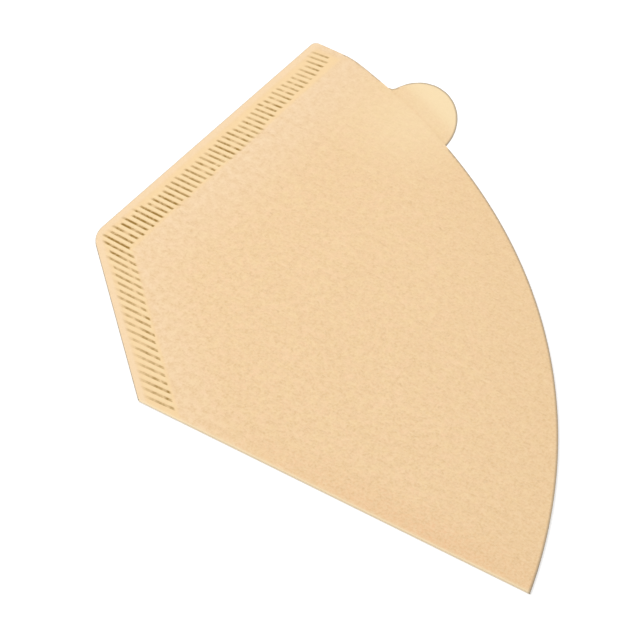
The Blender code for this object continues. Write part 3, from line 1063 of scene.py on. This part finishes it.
# %% Painted shade and light under the grain, and the grain
# From which value of each noise to which its tone comes in.
HUE_RANGE = (0.38, 0.62)
CLOUD_RANGE = (0.35, 0.7)
GRAIN_RANGE = (0.41, 0.63)
FINE_RANGE = (0.62, 0.40)
CLOUD_SHARE = 0.42
GRAIN_SHARE = 0.78
FINE_SHARE = 0.38
DARK_FIBRE_SHARE = 0.4
LIGHT_FIBRE_SHARE = 0.35
UNDER_GRAIN = (
    ("by_fold", 0.9, FOLD_SHADE),
    ("by_mouth", 0.5, MOUTH_SHADE),
    ("by_bars", 0.8, SEAM_SIDE_LIGHT),
)


def lay_tones(colour, layers):
    """Mixes tones over a colour, each by its mark on the vertices and its share."""
    for name, share, tone in layers:
        colour = mix_colour(tree, times(tree, mark(tree, name), share), colour, tone)
    return colour


def lay_noise(colour, value, span, share, tone):
    """Mixes a tone over a colour where a noise is in its range."""
    return mix_colour(tree, spread(tree, value, *span, 0.0, share), colour, tone)


colour = lay_noise(PAPER, hues, HUE_RANGE, 1.0, PAPER_ROSY)
colour = lay_noise(colour, clouds, CLOUD_RANGE, CLOUD_SHARE, CLOUD)
colour = lay_tones(colour, UNDER_GRAIN)
colour = lay_noise(colour, grain, GRAIN_RANGE, GRAIN_SHARE, GRAIN_DARK)
colour = lay_noise(colour, fine, FINE_RANGE, FINE_SHARE, FIBRE_LIGHT)
dark_share = times(tree, dark_fibres, times(tree, fibre_patches, DARK_FIBRE_SHARE))
colour = mix_colour(tree, dark_share, colour, FIBRE_DARK)
colour = mix_colour(tree, times(tree, light_fibres, LIGHT_FIBRE_SHARE), colour, FIBRE_LIGHT)

# %% Over the grain: painted light on the tab, margin, band, painted highlights on ridges and fold, and painted shade in slits and along the cut
OVER_GRAIN = (
    ("tab", 0.8, TAB_LIGHT_THROUGH),
    ("margin", 0.7, MARGIN_TONE),
    ("band", 0.8, BAND_TONE),
    ("ridge_highlight", 0.85, RIDGE_HIGHLIGHT),
)
SLIT_NOISE_RANGE = (0.36, 0.6)
LEAST_SLIT = 0.70
MOST_SLIT = 1.25
CUT_LINE = (0.06, 0.44)  # full up to the first distance, gone at the second
CUT_SHARE = 0.85

colour = lay_tones(colour, OVER_GRAIN)
# A noise makes the slits' pressed and painted-shade darkening uneven along the bars.
slit_unevenness = spread(tree, noise(0.8), *SLIT_NOISE_RANGE, LEAST_SLIT, MOST_SLIT)
colour = mix_colour(tree, times(tree, mark(tree, "slit"), slit_unevenness), colour, PRESSED_AND_SHADED)
# The fold's edge gets a painted highlight.
colour = lay_tones(colour, [("fold_highlight", 0.8, FOLD_HIGHLIGHT)])
# A thin line of painted shade along the cut.
cut_share = spread(tree, mark(tree, "cut"), *CUT_LINE, CUT_SHARE, 0.0)
colour = mix_colour(tree, cut_share, colour, CUT_SHADE)
tree.links.new(colour, shader.inputs["Base Color"])
print("nodes with the colours:", len(tree.nodes))

# %% A shallow bump
BUMP_STRENGTH = 0.5
BUMP_DEPTH = 0.08 * MM
BUMP_PARTS = ((grain, 0.7), (fine, 0.3), (light_fibres, 0.15))

height = 0.0
for texture, share in BUMP_PARTS:
    height = math_node(tree, "ADD", height, times(tree, texture, share))
bump = add(tree, "ShaderNodeBump", Strength=BUMP_STRENGTH, Distance=BUMP_DEPTH)
tree.links.new(height, bump.inputs["Height"])
tree.links.new(bump.outputs["Normal"], shader.inputs["Normal"])
mesh.materials.clear()
mesh.materials.append(finish)
print("material nodes:", len(tree.nodes))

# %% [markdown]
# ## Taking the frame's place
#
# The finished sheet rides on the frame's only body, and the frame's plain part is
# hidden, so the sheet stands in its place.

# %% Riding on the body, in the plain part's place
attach(paper, "root")
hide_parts("filter_paper")

# %% [markdown]
# ## Floor, light and camera
#
# The filter lies on a plain white table in soft light. The floor answers to light as
# any white board does, so it keeps the shadow. To the camera it also glows a little,
# which takes the unshaded part to full white.

# %% The floor
FLOOR_SIZE = 12.0
FLOOR_GAP = 0.03 * MM
BOARD_TONE = (0.80, 0.80, 0.80, 1.0)
WHITE = (1.0, 1.0, 1.0, 1.0)
BOARD_GLOW = 0.42

bpy.ops.object.select_all(action="DESELECT")
bpy.ops.mesh.primitive_plane_add(size=FLOOR_SIZE, location=(0.0, 0.0, low[2] - FLOOR_GAP))
floor = bpy.context.object
floor.name = "floor"
board = bpy.data.materials.new("white_board")
board.use_nodes = True
nodes = board.node_tree
nodes.nodes.remove(nodes.nodes["Principled BSDF"])
diffuse = add(nodes, "ShaderNodeBsdfDiffuse", Color=BOARD_TONE)
glow = add(nodes, "ShaderNodeEmission", Color=WHITE)
nodes.links.new(times(nodes, seen_directly(nodes), BOARD_GLOW), glow.inputs["Strength"])
both = add(nodes, "ShaderNodeAddShader")
nodes.links.new(diffuse.outputs["BSDF"], both.inputs[0])
nodes.links.new(glow.outputs["Emission"], both.inputs[1])
nodes.links.new(both.outputs["Shader"], nodes.nodes["Material Output"].inputs["Surface"])
floor.data.materials.append(board)

# %% The sky
SKY_LIGHT = 0.66
SKY_WHITE = 1.0

world = bpy.data.worlds.new("studio")
bpy.context.scene.world = world
world.use_nodes = True
sky = world.node_tree
light = sky.nodes["Background"]
light.inputs["Color"].default_value = WHITE
strength = spread(sky, seen_directly(sky), 0.0, 1.0, SKY_LIGHT, SKY_WHITE)
sky.links.new(strength, light.inputs["Strength"])

# %% The lamp
LAMP_PLACE = (-0.35, 0.35, 0.95)
LAMP_SIZE = 0.7
LAMP_POWER = 4.45

bpy.ops.object.light_add(type="AREA", location=LAMP_PLACE)
lamp = bpy.context.object
lamp.name = "soft_lamp"
lamp.data.shape = "DISK"
lamp.data.size = LAMP_SIZE
lamp.data.energy = LAMP_POWER
lamp.rotation_euler = (-lamp.location).to_track_quat("-Z", "Y").to_euler()
print("lamp at", [round(c, 2) for c in lamp.location], "m")

# %% [markdown]
# ## The camera
#
# It stands in front of the filter and a little to the left of it, looks down at about
# 47 degrees, and uses a long lens, so the plan is foreshortened but hardly tapers.

# %% Place, aim and lens
CAMERA_PLACE = Vector((-0.1578, -0.5498, 0.6178))
CAMERA_UP = Vector((0.1047, 0.7274, 0.6782))
CAMERA_LENS = 178.0
CAMERA_NEAR = 0.05
AIM = Vector((-0.002, -0.004, 0.0))

bpy.ops.object.camera_add(location=CAMERA_PLACE)
camera = bpy.context.object
camera.name = "camera"
ahead = (AIM - CAMERA_PLACE).normalized()
right = ahead.cross(CAMERA_UP).normalized()
up = right.cross(ahead)
camera.rotation_euler = Matrix((right, up, -ahead)).transposed().to_euler()
camera.data.lens = CAMERA_LENS
camera.data.clip_start = CAMERA_NEAR
bpy.context.scene.camera = camera
bpy.context.scene.view_settings.view_transform = "Standard"
